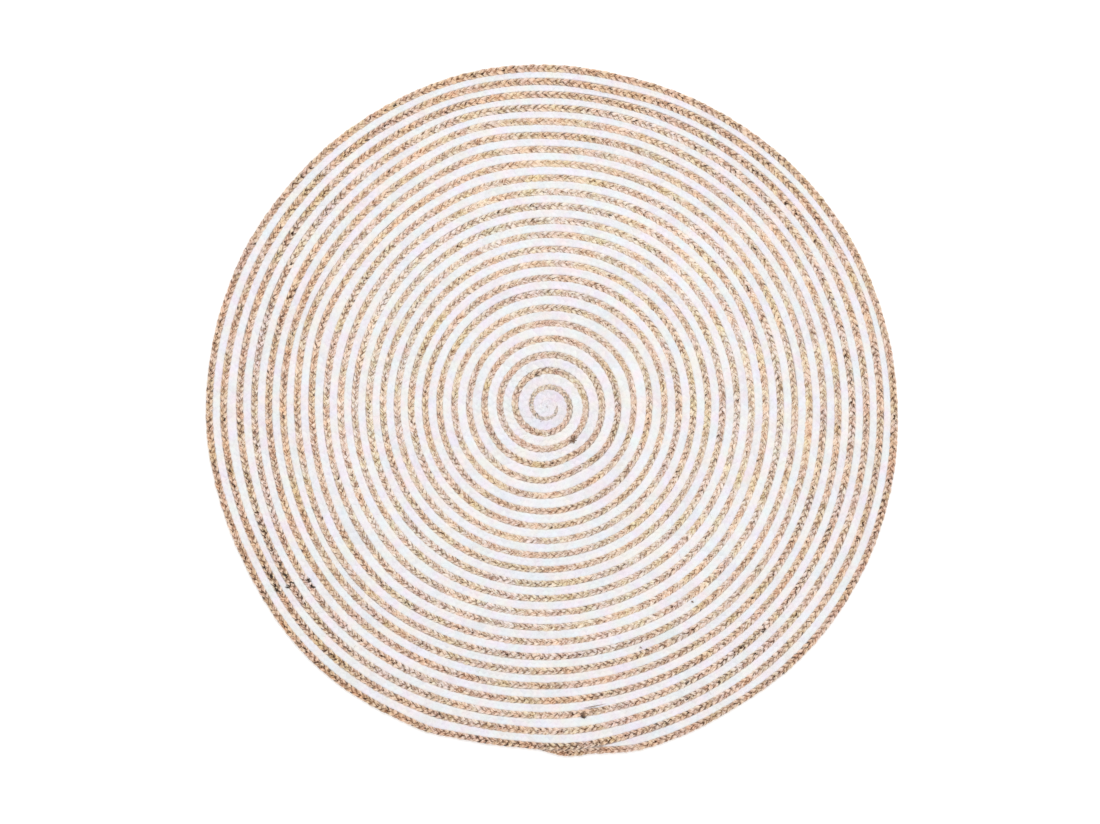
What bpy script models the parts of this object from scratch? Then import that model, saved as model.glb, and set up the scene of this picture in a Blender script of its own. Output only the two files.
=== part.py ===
"""Round braided rug, 1.5 m across: a natural jute braid and a white braid wound side by side in one coil.

Metres, +Z up. The rug lies flat on Z = 0 with the middle of its outline at the origin.
A place along the coil is given in turns, counted clockwise (seen from above) from +X.
Turn 0 is where the jute braid has gone once round the white core.
"""

import math

import bmesh
import bpy

MM = 0.001
TINY = 1e-6  # turns or steps, for rounding

# Both braids
BRAID_GAP = 0.3 * MM  # between neighbours
TOP_INSET = 3.0 * MM  # a braid's top edges stand this far in from its base
LARGEST_INSET_SHARE = 0.28  # of the width, where a braid is thin

# Jute braid: from its thin start beside the core to its end on the rim
JUTE_THICKNESS = 9.0 * MM
JUTE_START_TURN = -1.0
JUTE_END_TURN = 22.25
JUTE_WIDTHS = [
    {"turn": -1.00, "width": 3.0 * MM},
    {"turn": -0.90, "width": 6.0 * MM},
    {"turn": -0.50, "width": 9.0 * MM},
    {"turn": 0.00, "width": 12.5 * MM},
    {"turn": 0.60, "width": 14.3 * MM},
    {"turn": 22.00, "width": 16.0 * MM},
    {"turn": 22.24, "width": 15.0 * MM},
    {"turn": 22.25, "width": 5.0 * MM},
]

# White braid: from the middle of the core to its tip under the last turn of jute
WHITE_THICKNESS = 8.0 * MM
WHITE_START_TURN = -3.0
WHITE_END_TURN = 21.0 + 82.5 / 360
WHITE_TIP_WIDTH = 1.5 * MM
CLOSING_TURNS = 0.1  # the jute of the last turn may lean on the white tip from this far before it
CORE_HOLE_RADIUS = 0.8 * MM
CORE_START_WIDTH = 2.7 * MM
CORE_TURNS = 1.0  # over these the white widens from its start round the middle

# Radius of the jute braid's centre line
COIL_RADII = [
    {"turn": -1.00, "radius": 24.0 * MM},
    {"turn": -0.75, "radius": 27.8 * MM},
    {"turn": -0.50, "radius": 33.0 * MM},
    {"turn": -0.25, "radius": 41.0 * MM},
    {"turn": 0.00, "radius": 51.0 * MM},
    {"turn": 3.00, "radius": 154.6 * MM},
    {"turn": 6.00, "radius": 253.7 * MM},
    {"turn": 12.00, "radius": 441.0 * MM},
    {"turn": 18.00, "radius": 628.9 * MM},
    {"turn": 22.21, "radius": 758.5 * MM},
    {"turn": 22.23, "radius": 744.0 * MM},
    {"turn": 22.25, "radius": 730.0 * MM},
]

# The coil isn't quite round: waves in its radius that grow towards the rim
RIM_TURN = 22.24
WAVES = [
    {"lobes": 1, "growth": 1, "size": 14.9 * MM, "phase": -8},
    {"lobes": 1, "growth": 3, "size": 19.5 * MM, "phase": 127},
    {"lobes": 2, "growth": 1, "size": 8.8 * MM, "phase": -117},
    {"lobes": 2, "growth": 3, "size": 9.7 * MM, "phase": 65},
    {"lobes": 3, "growth": 2, "size": 3.9 * MM, "phase": 41},
    {"lobes": 4, "growth": 2, "size": 2.6 * MM, "phase": 164},
    {"lobes": 5, "growth": 2, "size": 1.8 * MM, "phase": -110},
    {"lobes": 6, "growth": 2, "size": 1.1 * MM, "phase": 97},
]

# Places where a few neighbouring turns swell out or draw in; angle and spread in degrees
KINKS = [
    {"turn": 3, "angle": 65, "size": -7.4 * MM, "spread": 20, "turns": 1.2},
    {"turn": 15, "angle": 140, "size": 7.7 * MM, "spread": 20, "turns": 1.2},
    {"turn": 15, "angle": 45, "size": 6.3 * MM, "spread": 20, "turns": 3.0},
    {"turn": 17, "angle": 255, "size": 7.9 * MM, "spread": 10, "turns": 3.0},
    {"turn": 15, "angle": 200, "size": 7.7 * MM, "spread": 12, "turns": 1.2},
    {"turn": 5, "angle": 335, "size": 4.6 * MM, "spread": 20, "turns": 1.2},
    {"turn": 13, "angle": 130, "size": 5.7 * MM, "spread": 12, "turns": 1.2},
    {"turn": 21, "angle": 85, "size": 7.0 * MM, "spread": 8, "turns": 1.2},
    {"turn": 21, "angle": 110, "size": 7.0 * MM, "spread": 4, "turns": 0.6},
    {"turn": 21, "angle": 150, "size": -5.0 * MM, "spread": 10, "turns": 1.0},
    {"turn": 21, "angle": 176, "size": 6.0 * MM, "spread": 12, "turns": 1.0},
    {"turn": 21, "angle": 282, "size": -4.0 * MM, "spread": 8, "turns": 1.0},
    {"turn": 21, "angle": 342, "size": 4.0 * MM, "spread": 12, "turns": 1.0},
    {"turn": 22, "angle": 57, "size": -4.0 * MM, "spread": 10, "turns": 0.6},
]

# Straight steps in each turn, from this turn outward; each count goes into 96 a whole number of times
STEPS = [
    {"from_turn": -3, "steps": 24},
    {"from_turn": 5, "steps": 48},
    {"from_turn": 21, "steps": 96},
]

# Colours as linear red, green, blue
JUTE_FINISH = {"color": (0.60, 0.46, 0.35), "roughness": 0.85}
WHITE_FINISH = {"color": (0.86, 0.85, 0.86), "roughness": 0.9}


def clear_scene():
    for obj in list(bpy.data.objects):
        bpy.data.objects.remove(obj, do_unlink=True)


def between(rows, column, turn):
    """The column's value at this turn, in a straight line between the rows on either side."""
    if turn <= rows[0]["turn"]:
        return rows[0][column]
    for low, high in zip(rows, rows[1:]):
        if turn <= high["turn"]:
            share = (turn - low["turn"]) / (high["turn"] - low["turn"])
            return low[column] + share * (high[column] - low[column])
    return rows[-1][column]


def unevenness(turn):
    """How far the coil stands out from its even radius at this turn."""
    angle = math.tau * turn
    part = max(turn, 0.0) / RIM_TURN
    offset = 0.0
    for wave in WAVES:
        phase = math.radians(wave["phase"])
        offset += wave["size"] * part ** wave["growth"] * math.cos(wave["lobes"] * angle - phase)
    for kink in KINKS:
        away = (math.degrees(angle) - kink["angle"] + 180) % 360 - 180
        reach = (away / kink["spread"]) ** 2 + ((turn - kink["turn"]) / kink["turns"]) ** 2
        offset += kink["size"] * math.exp(-reach)
    return offset


def jute_width(turn):
    return between(JUTE_WIDTHS, "width", turn)


def jute_inner(turn):
    radius = between(COIL_RADII, "radius", turn) + unevenness(turn) - jute_width(turn) / 2
    past_tip = turn - 1 - WHITE_END_TURN
    if past_tip > -CLOSING_TURNS:
        # The last stretch closes on the turn before it, with the white tip between them until it ends
        filling = WHITE_TIP_WIDTH + BRAID_GAP if past_tip <= 0 else 0.0
        radius = max(radius, jute_outer(turn - 1) + BRAID_GAP + filling)
    return radius


def jute_outer(turn):
    return jute_inner(turn) + jute_width(turn)


def white_outer(turn):
    """White fills up to the jute of the next turn; in the core it grows evenly from the middle."""
    if turn >= JUTE_START_TURN - 1:
        return jute_inner(turn + 1) - BRAID_GAP
    start = CORE_HOLE_RADIUS + CORE_START_WIDTH
    end = jute_inner(JUTE_START_TURN) - BRAID_GAP
    return start + (end - start) * (turn - WHITE_START_TURN) / CORE_TURNS


def white_inner(turn):
    if turn >= JUTE_START_TURN:
        return jute_outer(turn) + BRAID_GAP
    if turn >= WHITE_START_TURN + CORE_TURNS:
        return white_outer(turn - 1) + BRAID_GAP
    share = (turn - WHITE_START_TURN) / CORE_TURNS
    return CORE_HOLE_RADIUS + share * (CORE_START_WIDTH + BRAID_GAP)


def steps_at(turn):
    """Steps a turn just inside this place on the coil."""
    found = STEPS[0]["steps"]
    for row in STEPS:
        if turn > row["from_turn"]:
            found = row["steps"]
    return found


def stations(start, end):
    """Places along a braid, in turns, from its start to its end."""
    places = [start]
    while places[-1] < end - TINY:
        steps = steps_at(places[-1] + TINY)
        places.append((round(places[-1] * steps) + 1) / steps)
    return places


def on_coil(turn, radius):
    angle = math.tau * turn
    return radius * math.cos(angle), -radius * math.sin(angle)


def on_chord(edge, turn, steps):
    """A point of an edge that is drawn straight between its whole steps."""
    step = math.floor(turn * steps + TINY)
    share = turn * steps - step
    if share < TINY:
        return on_coil(turn, edge(turn))
    low = on_coil(step / steps, edge(step / steps))
    high = on_coil((step + 1) / steps, edge((step + 1) / steps))
    return tuple(a + share * (b - a) for a, b in zip(low, high))


def section(inner, outer, thickness):
    """Four corners of a braid: base inner, base outer, top outer, top inner."""
    across = math.dist(inner, outer)
    share = min(TOP_INSET / across, LARGEST_INSET_SHARE)
    top_inner = [a + share * (b - a) for a, b in zip(inner, outer)]
    top_outer = [b + share * (a - b) for a, b in zip(inner, outer)]
    return [(*inner, 0.0), (*outer, 0.0), (*top_outer, thickness), (*top_inner, thickness)]


def jute_sections():
    """The inner edge follows the steps of the white braid inside it, so the two stay parallel."""
    sections = []
    for turn in stations(JUTE_START_TURN, JUTE_END_TURN):
        inner = on_chord(jute_inner, turn, steps_at(turn - 1))
        outer = on_coil(turn, jute_outer(turn))
        sections.append(section(inner, outer, JUTE_THICKNESS))
    return sections


def white_sections():
    """Both edges follow the jute beside them, step for step."""
    sections = []
    for turn in stations(WHITE_START_TURN, WHITE_END_TURN):
        inner = on_coil(turn, white_inner(turn))
        outer = on_coil(turn, white_outer(turn))
        sections.append(section(inner, outer, WHITE_THICKNESS))
    return sections


def outline_middle(sections):
    xs = [corner[0] for corners in sections for corner in corners]
    ys = [corner[1] for corners in sections for corner in corners]
    return (min(xs) + max(xs)) / 2, (min(ys) + max(ys)) / 2


def finish_material(name, finish):
    material = bpy.data.materials.new(name)
    material.use_nodes = True
    shader = material.node_tree.nodes["Principled BSDF"]
    shader.inputs["Base Color"].default_value = (*finish["color"], 1.0)
    shader.inputs["Roughness"].default_value = finish["roughness"]
    shader.inputs["Metallic"].default_value = 0.0
    return material


def make_braid(name, sections, middle, material):
    """Joins the sections into one closed strip."""
    shape = bmesh.new()
    rings = []
    for corners in sections:
        ring = [shape.verts.new((x - middle[0], y - middle[1], z)) for x, y, z in corners]
        rings.append(ring)
    for ring, following in zip(rings, rings[1:]):
        for k in range(len(ring)):
            after = (k + 1) % len(ring)
            shape.faces.new((ring[k], ring[after], following[after], following[k]))
    shape.faces.new(rings[0])
    shape.faces.new(rings[-1])
    bmesh.ops.recalc_face_normals(shape, faces=shape.faces)
    mesh = bpy.data.meshes.new(name)
    shape.to_mesh(mesh)
    shape.free()
    mesh.materials.append(material)
    braid = bpy.data.objects.new(name, mesh)
    bpy.context.scene.collection.objects.link(braid)
    return braid


def make_rug():
    jute = jute_sections()
    white = white_sections()
    middle = outline_middle(jute)
    make_braid("jute_braid", jute, middle, finish_material("natural_jute", JUTE_FINISH))
    make_braid("white_braid", white, middle, finish_material("white_yarn", WHITE_FINISH))


clear_scene()
make_rug()
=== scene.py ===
import math
import time

import bpy
import numpy as np
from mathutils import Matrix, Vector


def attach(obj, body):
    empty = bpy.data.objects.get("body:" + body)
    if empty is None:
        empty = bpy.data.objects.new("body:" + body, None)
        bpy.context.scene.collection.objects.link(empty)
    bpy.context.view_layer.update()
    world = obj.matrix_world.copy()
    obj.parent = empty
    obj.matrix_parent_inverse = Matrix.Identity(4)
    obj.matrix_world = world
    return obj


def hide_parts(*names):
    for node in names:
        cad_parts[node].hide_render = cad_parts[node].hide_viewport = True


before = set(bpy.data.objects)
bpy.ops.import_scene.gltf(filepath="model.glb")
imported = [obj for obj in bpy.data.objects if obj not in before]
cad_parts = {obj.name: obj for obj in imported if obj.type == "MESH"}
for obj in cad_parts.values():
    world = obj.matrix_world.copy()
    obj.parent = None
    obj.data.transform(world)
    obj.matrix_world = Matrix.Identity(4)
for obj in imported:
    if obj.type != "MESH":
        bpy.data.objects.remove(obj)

mm = 0.001
started = time.time()
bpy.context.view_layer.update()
bpy.ops.object.select_all(action="DESELECT")


def report(text):
    print(f"{time.time() - started:6.1f} s  {text}")


# Where the two braids run, in turns counted clockwise (seen from above) from +X

coil = {
    "middle": (11.457 * mm, -10.540 * mm),  # of the outline, seen from the coil's own centre
    "gap": 0.3 * mm,
    "juteTurns": (-1.0, 22.254),
    "whiteTurns": (-3.0, 21.0 + 81.6 / 360),
    "whiteTip": 1.5 * mm,
    "closingTurns": 0.1,  # this far before the white tip the last stretch starts to close up
    "closing": ((-0.020, -0.006), -1.3 * mm),  # turns before the tip, and how far it presses in after
    "lastUnder": 21.3,  # the last turn that another one can lie against
    "coreHole": -1.2 * mm,
    "coreWidth": 2.7 * mm,
    "rimTurn": 22.24,
}

juteWidths = [  # turn, width in mm
    (-1.00, 3.0), (-0.90, 6.0), (-0.50, 9.0), (0.00, 12.5),
    (0.60, 14.3), (22.00, 16.0), (22.2425, 15.4), (22.2520, 1.5), (22.2540, 1.0),
]

# The radii at turns 3 to 18, the waves and half of the kinks are from a fit to the coil in the photo
coilRadii = [  # turn, radius of the jute's middle line in mm
    (-1.00, 24.0), (-0.75, 27.8), (-0.50, 33.0), (-0.25, 41.0), (0.00, 51.0), (3.00, 154.6),
    (6.00, 253.7), (12.00, 441.0), (18.00, 628.9), (22.21, 758.5), (22.23, 744.0), (22.26, 723.0),
]

waves = [  # lobes, growth, size in mm, phase in degrees
    (1, 1, 14.9, -8), (1, 3, 19.5, 127), (2, 1, 8.8, -117), (2, 3, 9.7, 65),
    (3, 2, 3.9, 41), (4, 2, 2.6, 164), (5, 2, 1.8, -110), (6, 2, 1.1, 97),
]

kinks = [  # turn, angle, size in mm, spread in degrees, turns
    (3, 65, -7.4, 20, 1.2), (15, 140, 7.7, 20, 1.2), (15, 45, 6.3, 20, 3.0),
    (17, 255, 7.9, 10, 3.0), (15, 200, 7.7, 12, 1.2), (5, 335, 4.6, 20, 1.2),
    (13, 130, 5.7, 12, 1.2), (21, 85, 7.0, 8, 1.2), (21, 110, 7.0, 4, 0.6),
    (21, 150, -5.0, 10, 1.0), (21, 176, 6.0, 12, 1.0), (21, 282, -4.0, 8, 1.0),
    (21, 342, 4.0, 12, 1.0), (22, 57, -4.0, 10, 0.6),
]


def fromTable(rows, turn):
    return np.interp(turn, [row[0] for row in rows], [row[1] * mm for row in rows])


def unevenness(turn):
    angle = math.tau * turn
    part = np.maximum(turn, 0) / coil["rimTurn"]
    offset = np.zeros_like(turn)
    for lobes, growth, size, phase in waves:
        offset += size * mm * part ** growth * np.cos(lobes * angle - math.radians(phase))
    for kinkTurn, kinkAngle, size, spread, turns in kinks:
        away = (np.degrees(angle) - kinkAngle + 180) % 360 - 180
        offset += size * mm * np.exp(-(away / spread) ** 2 - ((turn - kinkTurn) / turns) ** 2)
    return offset


# Inner and outer radius of the jute braid
def juteEdges(turn):
    width = fromTable(juteWidths, turn)
    inner = fromTable(coilRadii, turn) + unevenness(turn) - width / 2
    closing = turn - 1 - coil["whiteTurns"][1]
    if np.any(closing > -coil["closingTurns"]):  # the last stretch lies against the turn before it
        closingFromTo, pressed = coil["closing"]
        under = juteEdges(np.minimum(turn - 1, coil["lastUnder"]))[1] + coil["gap"]
        under = under + np.interp(closing, closingFromTo, [coil["whiteTip"] + coil["gap"], pressed])
        inner = np.where(closing > -coil["closingTurns"], np.maximum(inner, under), inner)
    return inner, inner + width


# The white braid fills what the jute leaves, and in the core it lies against itself
def whiteEdges(turn):
    coreFrom, gap = coil["whiteTurns"][0], coil["gap"]
    coreStart = coil["coreHole"] + coil["coreWidth"]
    coreEnd = juteEdges(np.array([coil["juteTurns"][0]]))[0][0] - gap
    coreOuter = coreStart + (coreEnd - coreStart) * (turn - coreFrom)
    outer = np.where(turn >= coreFrom + 1, juteEdges(turn + 1)[0] - gap, coreOuter)
    coreInner = coil["coreHole"] + (turn - coreFrom) * (coil["coreWidth"] + gap)
    inner = np.where(turn >= coreFrom + 1, coreOuter - (coreEnd - coreStart) + gap, coreInner)
    return np.where(turn >= coreFrom + 2, juteEdges(turn)[1] + gap, inner), outer


def smoothed(values, window):
    padded = np.concatenate([np.full(window, values[0]), values, np.full(window, values[-1])])
    return np.convolve(padded, np.ones(2 * window + 1) / (2 * window + 1), mode="valid")


pathSteps = 40000
pathSmoothing = 6  # steps to each side


# A braid's way round the coil; its phase counts the plait's lobes along one edge
def braidPath(edges, turns, pitch, fullWidth):
    turn = np.linspace(turns[0], turns[1], pathSteps + 1)
    inner, outer = edges(turn)
    middle = smoothed((inner + outer) / 2, pathSmoothing)
    half = smoothed(np.maximum((outer - inner) / 2, 0.4 * mm), pathSmoothing)
    angle = math.tau * turn
    steps = np.hypot(np.diff(middle * np.cos(angle)), np.diff(middle * np.sin(angle)))
    share = np.clip(2 * half / fullWidth, 0.45, 1.0)
    lobes = steps / (pitch * (share[1:] + share[:-1]) / 2)
    return {
        "turn": turn,
        "middle": middle,
        "half": half,
        "length": np.concatenate([[0], np.cumsum(steps)]),
        "phase": np.concatenate([[0], np.cumsum(lobes)]),
    }


# A flat plait of three strands. Each strand crosses the top from the middle to one edge, goes round
# the edge and back underneath. One cell is one lobe on each edge: the zigzag down the middle has two
# corners in it, and a border runs from each of them round the edge to the other face.

plait = {
    "zigzag": 0.37,  # how far the zigzag swings, as a share of half the width
    "bow": 0.7 * mm,  # its sides bulge this much
    "slope": 36,  # degrees, of a strand across the top
    "middleHeight": 0.86,
    "middleDent": 2.1 * mm,
    "cell": (8.0 * mm, 14.83 * mm, 4.5 * mm),  # half width, pitch and half height that it is drawn at
    "round": [  # degrees along the strand's turn, out and up shares, dent out and up, dent in mm
        (30, 0.370, 0.97, 0.10, 0.99, 2.0),
        (50, 0.650, 1.00, 0.30, 0.95, 1.9),
        (70, 0.895, 0.68, 0.75, 0.66, 1.6),
        (90, 1.000, 0.00, 1.00, 0.00, 1.4),
        (120, 0.790, -0.80, 0.60, -0.80, 1.5),
        (150, 0.370, -0.97, 0.10, -0.99, 1.9),
    ],
}


# Where the strand's top lies across it, at this many degrees along its turn round the edge
def peakAt(degrees):
    if degrees < 80:
        return 0.42
    return 0.5 if degrees < 100 else 0.58


# Where a point lies across its strand, from share 0 to 1, with the strand's top at peak
def acrossAt(share, peak):
    return share * (2 * peak) if share < 0.5 else peak + (share - 0.5) * 2 * (1 - peak)


# How deep a point lies: 1 in the crease; the side up to the peak is steep, the other gentle
def dentAt(place, peak, steepFirst):
    away = (peak - place) / peak if place < peak else (place - peak) / (1 - peak)
    steep = (place < peak) == steepFirst
    return 1 - math.sqrt(max(0.0, 1 - away ** 2)) if steep else away ** 1.8


def plaitCell(cuts, rows):
    points, index, faces = [], {}, []
    swing = plait["zigzag"]
    last, slope = len(rows) - 1, math.radians(plait["slope"])
    half, pitch, halfHeight = plait["cell"]
    run = [0.0]  # along a strand, from the zigzag round the edge
    for one, two in zip(rows, rows[1:]):
        side = (two[0] - one[0]) / 120 * pitch
        run.append(run[-1] + math.hypot(side, (two[1] - one[1]) * half, (two[2] - one[2]) * halfHeight))

    def addPoint(key, **values):
        index[key] = len(points)
        points.append(values)

    # Corner weights say whose shifts a point shares: this and the next border, right and left
    for level in (0, 1):
        sign, late = (1, 0.0) if level == 0 else (-1, 1.0)
        for leg in (0, 1):
            for q in range(cuts):
                share = q / cuts
                bulge = plait["bow"] * math.sin(math.pi * share) * sign
                legLength = math.hypot(pitch / 2, 2 * swing * half)
                phase = late + 0.5 * leg + 0.5 * share + bulge * 2 * swing * half / legLength / pitch
                swung = (-1 + 2 * share) * (1 if leg == 0 else -1) * swing
                aside = (-1 if leg == 0 else 1) * bulge * (pitch / 2) / legLength / half
                weights = (share, 0, 1 - share, 0) if leg == 0 else (1 - share, 0, 0, share)
                addPoint(("zig", level, leg, q), phase=phase, out=swung + aside,
                         up=sign * (plait["middleHeight"] + 0.06 * abs(swung) / swing),
                         dentOut=0, dentUp=sign, dent=plait["middleDent"], depth=1.0,
                         shade=0.55, weights=weights, hand=0, lobe=0)
        for hand in (1, -1):
            shift = 0.5 if hand == 1 else 0.0
            corners = (0, 1, 2) if level == 0 else (2, 1, 0)
            places = [(shift, swing), (shift + 0.5, -swing), (shift + 1.0, swing)]
            for i in range(1, cuts - 1):
                for j in range(1, cuts - i):
                    parts = np.array([i, j, cuts - i - j]) / cuts
                    parts = parts[list(corners)]
                    phase = late + sum(w * p[0] for w, p in zip(parts, places))
                    out = sum(w * p[1] for w, p in zip(parts, places))
                    under, over = (parts[2], parts[0]) if level == 0 else (parts[0], parts[2])
                    rise = math.sin(math.pi / 2 * min(under / 0.55, 1))
                    rise *= math.sin(math.pi / 2 * min(over / 0.30, 1))
                    near = swing + out
                    pair = (parts[0] + parts[1] / 2, parts[2] + parts[1] / 2)
                    weights = (*pair, 0, 0) if hand == 1 else (0, 0, *pair)
                    addPoint(("in", level, hand, i, j), phase=phase, out=hand * out,
                             up=sign * (plait["middleHeight"] + 0.10 * near / (2 * swing)),
                             dentOut=0, dentUp=sign, dent=plait["middleDent"], depth=1 - rise,
                             weights=weights, hand=hand, lobe=1.0)
    for hand in (1, -1):
        shift = 0.5 if hand == 1 else 0.0
        for n, (degrees, out, up, dentOut, dentUp, dent) in enumerate(rows):
            peak = peakAt(degrees)
            for j in range(cuts):
                if j == 0 and n in (0, last):
                    continue
                place = acrossAt(j / cuts, peak)
                depth = dentAt(place, peak, degrees < 100)
                weights = (1 - place, place, 0, 0) if hand == 1 else (0, 0, 1 - place, place)
                addPoint(("band", hand, n, j), phase=shift + place + (degrees - 30) / 120,
                         out=hand * out, up=up, dentOut=hand * dentOut, dentUp=dentUp,
                         dent=dent * mm, depth=depth, weights=weights, hand=hand,
                         lobe=1 - depth)

    def bandKey(hand, n, j):
        if n in (0, last) and j in (0, cuts):
            level, leg = (0 if n == 0 else 1), (1 if hand == 1 else 0)
            return (1 if j else 0), index[("zig", level, leg, 0)]
        return (1, index[("band", hand, n, 0)]) if j == cuts else (0, index[("band", hand, n, j)])

    # Where a patch's corner lies in the yarn's own map: metres along it, and share across it
    def patchMap(level, hand, cell, key):
        point = points[key]
        late = 0.0 if level == 0 else 1.0
        along = (point["phase"] + cell - late - (0.5 if hand == 1 else 0.0)) * pitch
        inward = (point["out"] * hand - swing) * half
        if level == 0:
            across = along / pitch - inward / (pitch * math.tan(slope))
            return along * math.cos(slope) + inward * math.sin(slope), across
        across = along / pitch + inward / (pitch * math.tan(slope))
        return run[-1] + along * math.cos(slope) - inward * math.sin(slope), across

    def addFace(hand, corners, maps):
        if hand == -1:
            corners, maps = corners[::-1], maps[::-1]
        faces.append((hand, corners, maps))

    for level in (0, 1):
        for hand in (1, -1):

            def gridKey(i, j):
                k = cuts - i - j
                if level == 1:
                    i, k = k, i
                if j == 0:
                    return bandKey(hand, 0 if level == 0 else last, k)
                firstSide, secondSide = (k == 0), (i == 0)
                near, far, onward = (1, 0, 1) if hand == 1 else (0, 1, 0)
                if firstSide and j == cuts:
                    return onward, index[("zig", level, far, 0)]
                if firstSide:
                    return 0, index[("zig", level, near, j)]
                if secondSide:
                    return onward, index[("zig", level, far, k)]
                if level == 1:
                    i, k = k, i
                return 0, index[("in", level, hand, i, j)]

            def addTriangle(*grid):
                corners = [gridKey(*place) for place in grid]
                addFace(hand, corners, [patchMap(level, hand, *corner) for corner in corners])

            for i in range(cuts):
                for j in range(cuts - i):
                    addTriangle((i + 1, j), (i, j + 1), (i, j))
                    if i + j <= cuts - 2:
                        addTriangle((i, j + 1), (i + 1, j), (i + 1, j + 1))
    for hand in (1, -1):
        for n in range(last):
            for j in range(cuts):
                grid = [(n, j), (n, j + 1), (n + 1, j + 1), (n + 1, j)]
                corners = [bandKey(hand, *place) for place in grid]
                maps = []
                for row, column in grid:
                    place = acrossAt(column / cuts, peakAt(rows[row][0]))
                    maps.append((run[row] + place * pitch * math.cos(slope), place))
                addFace(hand, corners, maps)
    loop = [("zig", 0, 0, q) for q in range(cuts)] + [("zig", 0, 1, 0)]
    loop += [("band", 1, n, 0) for n in range(1, last)]
    loop += [("zig", 1, 1, 0)] + [("zig", 1, 0, q) for q in range(cuts - 1, -1, -1)]
    loop += [("band", -1, n, 0) for n in range(last - 1, 0, -1)]
    return points, faces, [index[key] for key in loop]


def makeMesh(name, points, corners, sizes):
    mesh = bpy.data.meshes.new(name)
    mesh.vertices.add(len(points))
    mesh.vertices.foreach_set("co", np.ascontiguousarray(points, dtype=np.float32).ravel())
    mesh.loops.add(len(corners))
    mesh.loops.foreach_set("vertex_index", np.ascontiguousarray(corners, dtype=np.int32))
    mesh.polygons.add(len(sizes))
    starts = np.concatenate([[0], np.cumsum(sizes)[:-1]]).astype(np.int32)
    mesh.polygons.foreach_set("loop_start", starts)
    mesh.update(calc_edges=True)
    thing = bpy.data.objects.new(name, mesh)
    bpy.context.scene.collection.objects.link(thing)
    return thing


def addAttribute(mesh, name, kind, domain, values):
    made = mesh.attributes.new(name, kind, domain)
    made.data.foreach_set("vector" if kind == "FLOAT2" else "value", np.ascontiguousarray(values).ravel())


# Slow random swings along a braid, from -1 to 1, one value for each lobe
def slowNoise(random, count, spacing):
    knots = random.uniform(-1, 1, int(count / spacing) + 4)
    return np.interp(np.arange(count) / spacing, np.arange(len(knots)), knots)


# How a braid differs from lobe to lobe; the lengths cut from one braid share these
def braidShifts(random, count, braid):
    thick = [slowNoise(random, count, 40) for strand in range(3)]
    lobe = np.arange(count)
    right = np.choose(lobe % 3, thick)
    left = np.choose((lobe + 1) % 3, thick)
    drift = braid["strandDrift"] / braid["pitch"]
    jitter = braid["jitter"] / braid["pitch"]
    return {
        "borderRight": drift * (np.roll(right, 1) - right) + random.uniform(-jitter, jitter, count),
        "borderLeft": drift * (np.roll(left, 1) - left) + random.uniform(-jitter, jitter, count),
        "swellRight": braid["swell"] * (0.6 * right + random.uniform(-1, 1, count)),
        "swellLeft": braid["swell"] * (0.6 * left + random.uniform(-1, 1, count)),
        "width": 1 + braid["widthSwing"] * slowNoise(random, count, 9),
        "height": 1 + braid["heightSwing"] * slowNoise(random, count, 7),
        "aside": braid["asideSwing"] * slowNoise(random, count, 6),
    }


firstTurns = {
    "swollen": (0.0, 0.7),  # turns from and to
    "ragged": (0.5, 3.0),
    "bluntLobes": 2.0,
}


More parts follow.
